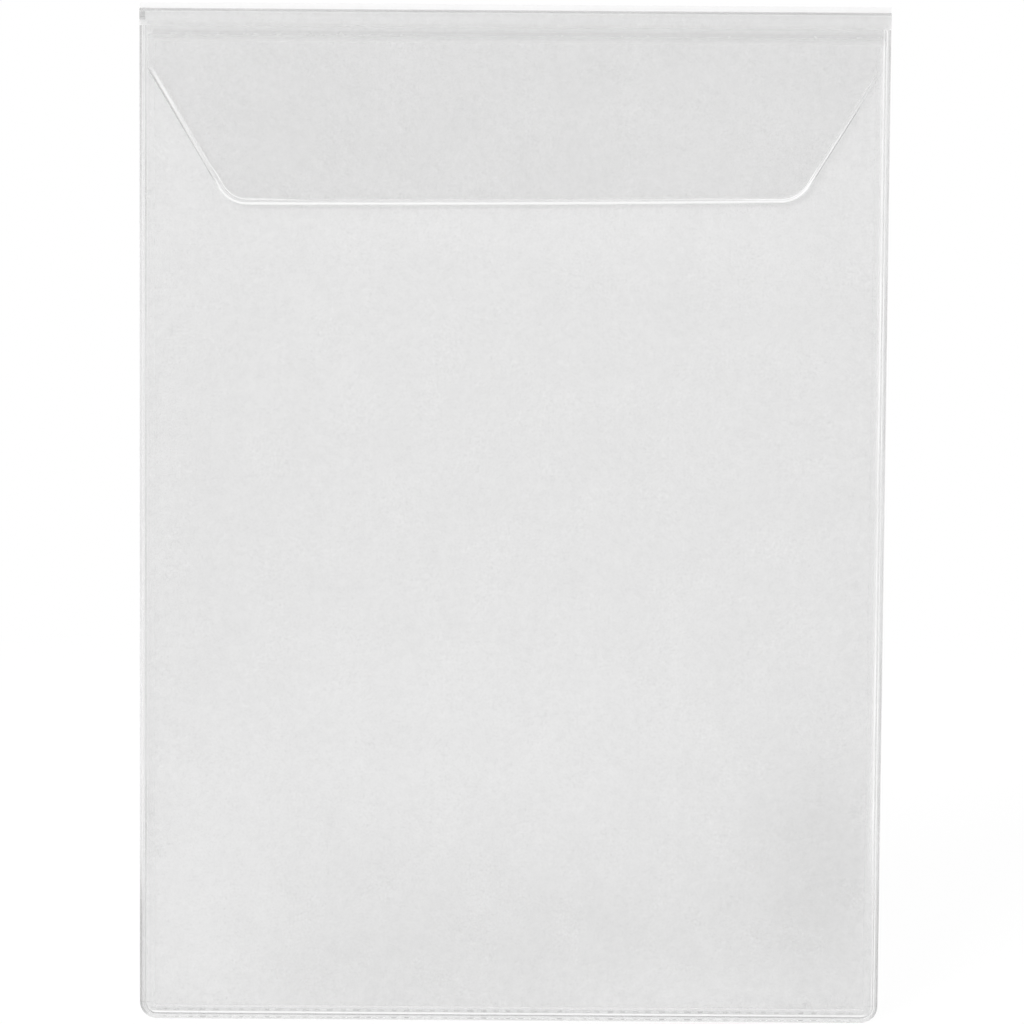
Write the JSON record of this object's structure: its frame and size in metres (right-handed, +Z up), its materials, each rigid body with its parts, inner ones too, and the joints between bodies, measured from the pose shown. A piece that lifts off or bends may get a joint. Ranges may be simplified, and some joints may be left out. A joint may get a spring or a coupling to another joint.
{
  "type": "self-adhesive document pocket",
  "caption": "Flat clear film pocket for a sheet of paper, with a slant-sided flap over its mouth, welded seams, and an adhesive back under a peel-off paper liner.",
  "frame": {"origin": "centre of the adhesive face on the back, which lies on the wall once the liner is off", "axes": "+Y out of the adhesive face into the wall, +Z up towards the flap's fold, +X to the right seen from the front"},
  "size_m": [0.226, 0.0024, 0.3087],
  "materials": {
    "film": "clear soft vinyl, satin gloss",
    "flap_film": "clear soft vinyl, satin gloss",
    "weld": "clear fused vinyl, glossy",
    "adhesive": "clear tacky acrylic",
    "liner": "white coated paper"
  },
  "bodies": {
    "pocket": {"back_film": "film", "front_film": "film", "top_weld": "weld", "left_weld": "weld", "right_weld": "weld", "bottom_weld": "weld", "adhesive_coat": "adhesive"},
    "flap": {"flap": "flap_film"},
    "liner": {"release_liner": "liner"}
  },
  "joints": [
    {"name": "flap_fold", "type": "hinge", "parent": "pocket", "child": "flap", "pos_m": [0, -0.00103, 0.1483], "axis": [-1, 0, 0], "range_deg": [0, 160]},
    {"name": "liner_peel", "type": "hinge", "parent": "pocket", "child": "liner", "pos_m": [0, 0.00015, -0.1535], "axis": [-1, 0, 0], "range_deg": [0, 60]}
  ]
}
